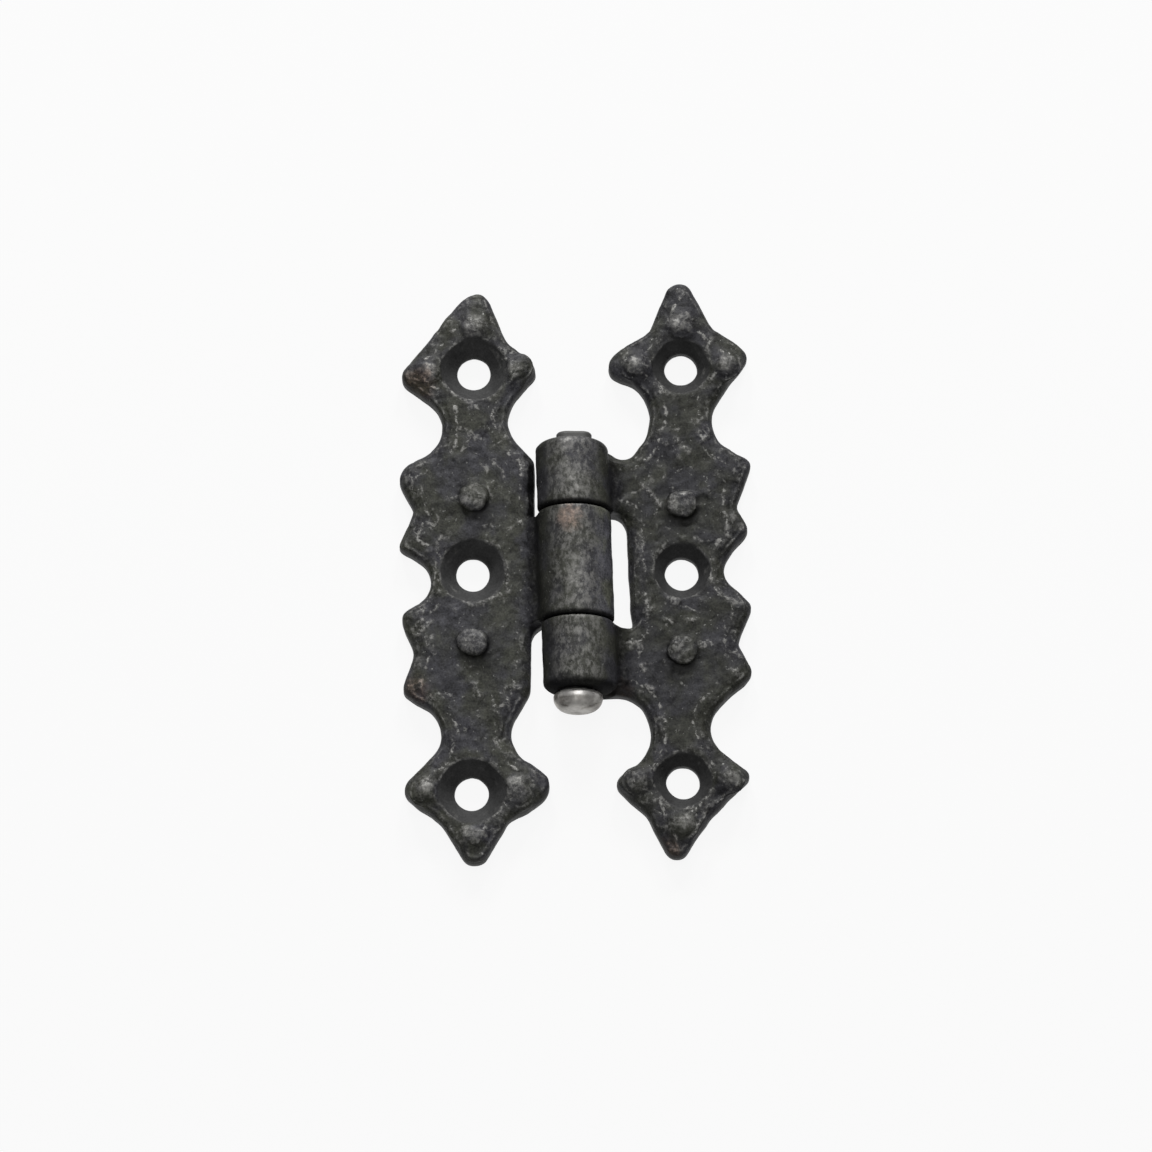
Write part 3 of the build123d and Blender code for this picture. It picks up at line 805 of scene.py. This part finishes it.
def stained(at, colour, joints):
    """The colour with rust and soot in hollows, painted shadow at the studs' feet, and painted shade on side
    walls, in crevices, at knuckle joints and on edges beside the knuckles.
    """
    rust = marks(at.place, RUST_MARKS) * (0.4 + at.mottle.rise(0.3, 0.55) * 0.6)
    soot = (0 - at.relief).rise(0.03, 0.2).most(at.dust.rise(0.38, 0.3) * at.flat) * at.cast
    # Painted shadow at the studs' feet
    stud_shadow = marks(at.place, STUD_SHADOW_MARKS) * (1 - at.stud)
    # Painted shade on the leaves' steep side walls
    shaded_side_wall = at.front.rise(0.5, 0.15) * at.front.rise(-0.9, -0.6) * at.z.rise(*SIDE_WALL_FADE)
    # Painted shade in the crease where the leaves meet the barrel
    crevice_shade = at.outside.rise(*CREVICE_FADE) * at.outside.rise(*CREVICE_FOOT_FADE)
    crevice_shade = crevice_shade * at.z.rise(*CREVICE_TOP_FADE)
    colour = rust.stain(colour, RUST_STAIN)
    colour = soot.stain(colour, SOOT_STAIN)
    colour = stud_shadow.stain(colour, STUD_PAINTED_SHADOW)
    colour = shaded_side_wall.stain(colour, SIDE_WALL_PAINTED_SHADE)
    colour = crevice_shade.stain(colour, CREVICE_PAINTED_SHADE)
    # Painted shade at the knuckle joints and on the leaf edges beside the knuckles
    colour = joints.stain(colour, KNUCKLE_PAINTED_SHADE)
    return painted_edge_shadow(at).stain(colour, KNUCKLE_PAINTED_SHADE)


def black_iron():
    """Blackened casting: uneven clouds, dark hollows, and worn light lines along borders, rims and seams."""
    material, tree, place = new_finish("black_iron")
    at = iron_places(tree, place)
    line = worn_lines(at)
    rub_and_sheen = rubbed_and_sheen(at, line)
    speck = at.dust.rise(0.64, 0.72) * at.cast
    # Painted shade at the knuckle joints and the barrel's lower end; these places are also made rougher
    joints = painted_joint_shade(at)
    colour = (rub_and_sheen * (0.6 + at.grain * 0.6)).tint(iron_ground(at), RUBBED_IRON_AND_SHEEN)
    colour = (speck * 0.6).tint(colour, BARE_SPECK)
    bright = rub_and_sheen.most(speck)
    height = (at.grain * 0.5 + at.mottle) * (0.2 + at.cast * 0.8) + line * 0.8
    close_finish(tree, {
        "Base Color": stained(at, colour, joints),
        "Roughness": 0.55 - bright * 0.12 + (at.mottle - 0.5) * 0.25 + joints * 0.4,
        "Metallic": bright * 0.4,
        "Specular IOR Level": 0.2,
        "Normal": Wire.node(tree, "ShaderNodeBump", {}, IRON_BUMP | {"Height": height}),
    })
    return material


def bare_steel():
    """Pin steel: bright and scuffed at the lower head, with a painted highlight along its upper rim and painted
    shade at its end, blackened at the upper button and in the neck.
    """
    material, tree, place = new_finish("bare_steel")
    relief = kept(tree, "relief_fine")
    along, above = place.parts()[1:]
    cloud = place.noise(**STEEL_CLOUD)
    scuff = place.noise(**SCUFF)
    score = place.vector("MULTIPLY", SCORE_STRETCH).noise(**SCORE).rise(0.5, 0.62)
    # Painted highlight along the upper rim of the head
    lip_highlight = along.rise(*LIP_START_FADE) * along.rise(*LIP_STOP_FADE) * above.rise(*LIP_HEIGHT_FADE)
    worn = relief.rise(0.02, 0.06) * scuff.rise(0.35, 0.6)
    blacking = (along + (cloud - 0.5) * BLACKING_WANDER).rise(*BLACKING_FADE)
    colour = cloud.rise(0.35, 0.65).tint(DULL_STEEL, BRIGHT_STEEL)
    colour = (0 - relief).rise(0.0, 0.04).stain(colour, DENT_STAIN)
    colour = (score * 0.7).stain(colour, SCORE_STAIN)
    # Painted shade at the end of the head
    colour = along.rise(*HEAD_FOOT_FADE).stain(colour, HEAD_END_PAINTED_SHADE)
    colour = (lip_highlight * (0.4 + cloud.rise(0.4, 0.55) * 0.6)).tint(colour, LIP_PAINTED_HIGHLIGHT)
    colour = (blacking * (1 - worn * 0.8)).tint(colour, BLACKED_STEEL)
    close_finish(tree, {
        "Base Color": colour,
        "Roughness": 0.40 + scuff * 0.2 + blacking * 0.1,
        "Metallic": 1 - blacking * 0.8,
        "Normal": Wire.node(tree, "ShaderNodeBump", {}, STEEL_BUMP | {"Height": scuff + cloud}),
    })
    return material


def away(azimuth, elevation):
    """Unit vector from the hinge to a lamp or camera: azimuth 0 lies towards -Y and 90 towards +X."""
    a, e = math.radians(azimuth), math.radians(elevation)
    return Vector((math.sin(a) * math.cos(e), -math.cos(a) * math.cos(e), math.sin(e)))


def softbox(name, azimuth, elevation, distance, width, level):
    lamp = bpy.data.lights.new(name, "AREA")
    lamp.shape = "DISK"
    lamp.size = width
    lamp.energy = level * (math.pi * distance) ** 2 / math.sin(math.radians(elevation))
    holder = bpy.data.objects.new(name, lamp)
    holder.location = away(azimuth, elevation) * distance
    holder.rotation_mode = "QUATERNION"
    holder.rotation_quaternion = (-away(azimuth, elevation)).to_track_quat("-Z", "Y")
    bpy.context.scene.collection.objects.link(holder)


def white_floor():
    """Wide white floor; seen directly or mirrored it glows a little, so its shadows stay light."""
    mesh = bpy.data.meshes.new("floor")
    corners = [(-1, -1), (1, -1), (1, 1), (-1, 1)]
    mesh.from_pydata([(x * FLOOR_HALF, y * FLOOR_HALF, 0) for x, y in corners], [], [(0, 1, 2, 3)])
    floor = bpy.data.objects.new("floor", mesh)
    bpy.context.scene.collection.objects.link(floor)
    material, tree, _ = new_finish("white_floor")
    path = Wire.node(tree, "ShaderNodeLightPath", {}, {}, "Is Camera Ray")
    rays = path.socket.node.outputs
    seen = path.most(Wire(tree, rays["Is Glossy Ray"])).most(Wire(tree, rays["Is Transmission Ray"]))
    matt = Wire.node(tree, "ShaderNodeBsdfDiffuse", {}, {"Color": FLOOR_WHITE})
    glow = Wire.node(tree, "ShaderNodeEmission", {}, {"Color": PLAIN_WHITE, "Strength": 1.0})
    mixed = Wire.node(tree, "ShaderNodeMixShader", {}, {0: seen * FLOOR_GLOW, 1: matt, 2: glow})
    Wire.node(tree, "ShaderNodeOutputMaterial", {}, {"Surface": mixed})
    mesh.materials.append(material)


def studio():
    scene = bpy.context.scene
    scene.view_settings.view_transform = "Standard"
    world = bpy.data.worlds.new("studio")
    world.use_nodes = True
    sky = next(n for n in world.node_tree.nodes if n.type == "BACKGROUND")
    sky.inputs["Color"].default_value = PLAIN_WHITE
    sky.inputs["Strength"].default_value = SKY_LEVEL
    scene.world = world
    for name, setting in LAMPS.items():
        softbox(name, *setting)
    white_floor()


def photo_camera():
    lens = bpy.data.cameras.new("photo_camera")
    lens.sensor_width = SENSOR
    lens.lens = SENSOR * VIEW_DISTANCE / VIEW_WIDTH
    camera = bpy.data.objects.new("photo_camera", lens)
    camera.location = VIEW_CENTRE + away(0, VIEW_ELEVATION) * VIEW_DISTANCE
    camera.rotation_mode = "QUATERNION"
    camera.rotation_quaternion = (-away(0, VIEW_ELEVATION)).to_track_quat("-Z", "Y")
    bpy.context.scene.collection.objects.link(camera)
    bpy.context.scene.camera = camera


iron = black_iron()
steel = bare_steel()
casting = casting_skin()
peened = peened_skin()
for leaf in ("left_leaf", "right_leaf"):
    piece = skinned(leaf + "_casting", leaf, LEAF_VOXEL, LEAF_EASING, casting, CASTING_SIZES, iron)
skinned("peened_pin", "hinge_pin", PIN_VOXEL, PIN_EASING, peened, PIN_SIZES, steel)
studio()
photo_camera()
